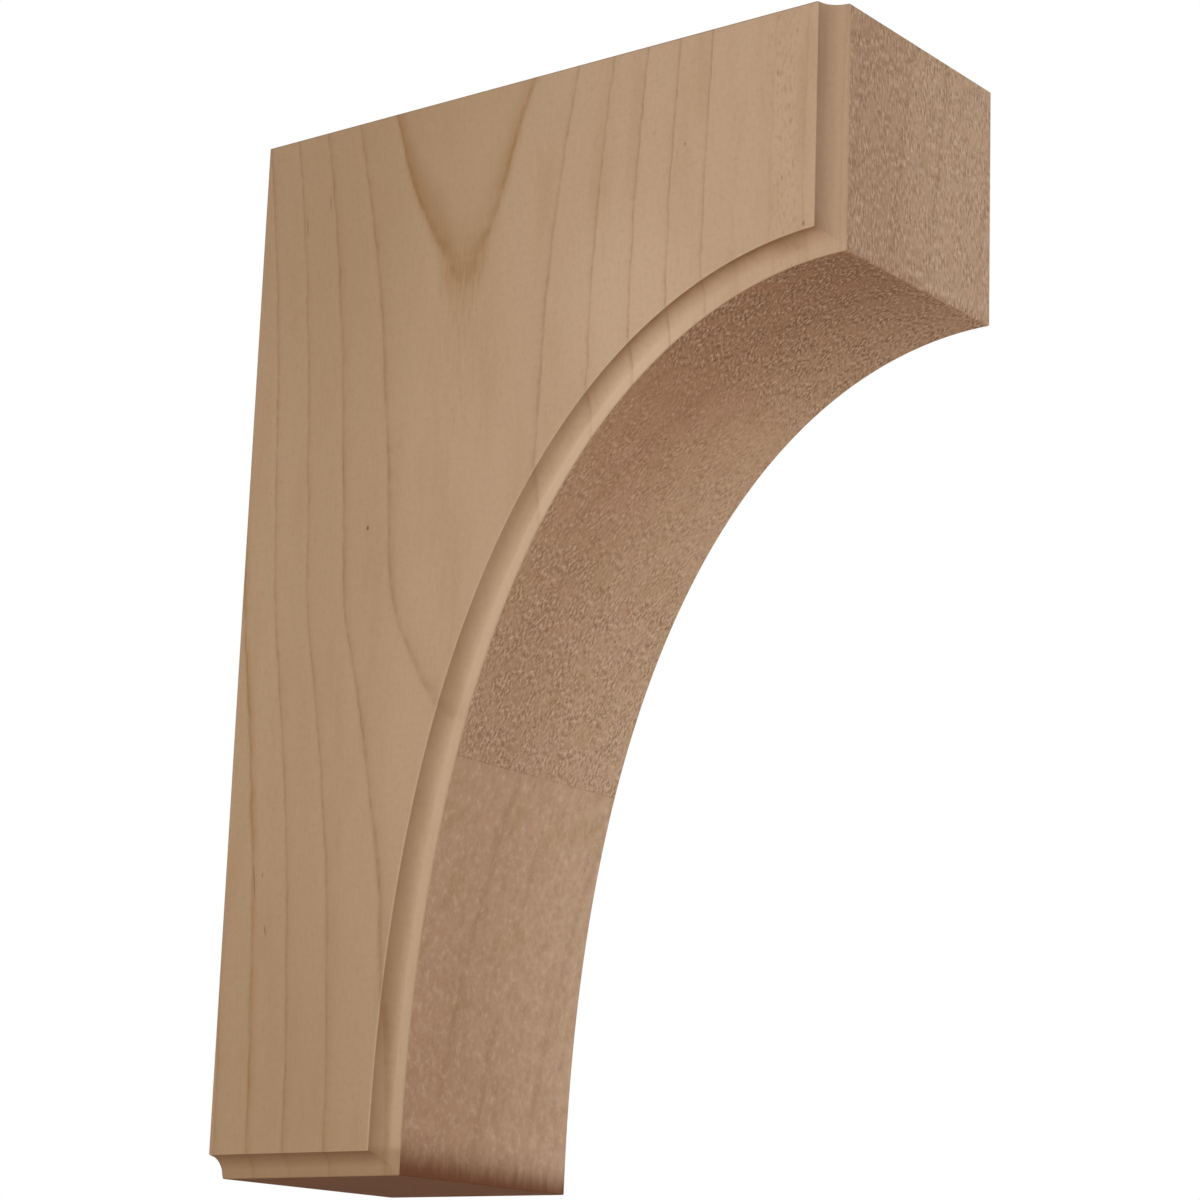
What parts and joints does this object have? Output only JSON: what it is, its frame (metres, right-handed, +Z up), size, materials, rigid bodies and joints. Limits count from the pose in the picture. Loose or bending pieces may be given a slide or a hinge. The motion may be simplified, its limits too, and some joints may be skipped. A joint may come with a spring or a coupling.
{
  "type": "corbel bracket",
  "caption": "Solid wooden corbel with a concave front curve and cove-moulded side edges, fixed to a wall to carry a shelf, mantel or counter.",
  "frame": {"origin": "centre of the flat back face that lies against the wall", "axes": "+Z up, +Y out of the back face into the wall, +X across the width; the bracket reaches out along -Y"},
  "size_m": [0.0636, 0.1524, 0.2286],
  "materials": {
    "bare_wood": "bare sanded hardwood, tan with a pink-brown cast, fine straight grain and one cathedral figure on the side"
  },
  "bodies": {
    "root": {"corbel": "bare_wood"}
  },
  "joints": []
}
